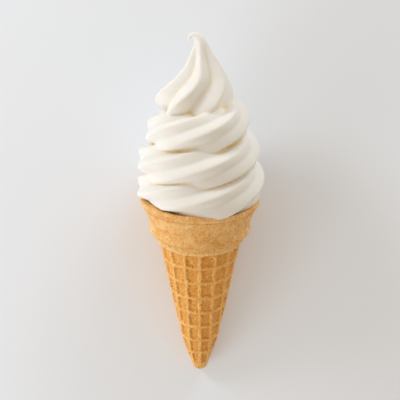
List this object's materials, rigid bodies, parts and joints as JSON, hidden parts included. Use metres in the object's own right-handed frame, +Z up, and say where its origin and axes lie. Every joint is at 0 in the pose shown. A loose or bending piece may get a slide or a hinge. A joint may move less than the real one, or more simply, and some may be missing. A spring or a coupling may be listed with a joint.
{
  "type": "soft serve ice cream cone",
  "caption": "Soft serve piped in a narrowing ridged spiral with a hooked peak, in a flared wafer cone with a waffle grid. It lies on its back.",
  "frame": {"origin": "centre of the bounding box's underside, on the surface that the cone lies on", "axes": "+Y along the length towards the ice cream's peak, +Z up out of the front side, +X to the right when seen from above with the peak away"},
  "size_m": [0.0606, 0.1702, 0.0624],
  "materials": {
    "ice_cream": "soft satin, faintly translucent vanilla ice cream, smooth with a very fine grain",
    "wafer": "dry baked wafer, golden tan with browner cells, finely grained and porous"
  },
  "bodies": {
    "root": {"soft_serve": "ice_cream", "wafer_cone": "wafer"}
  },
  "joints": []
}
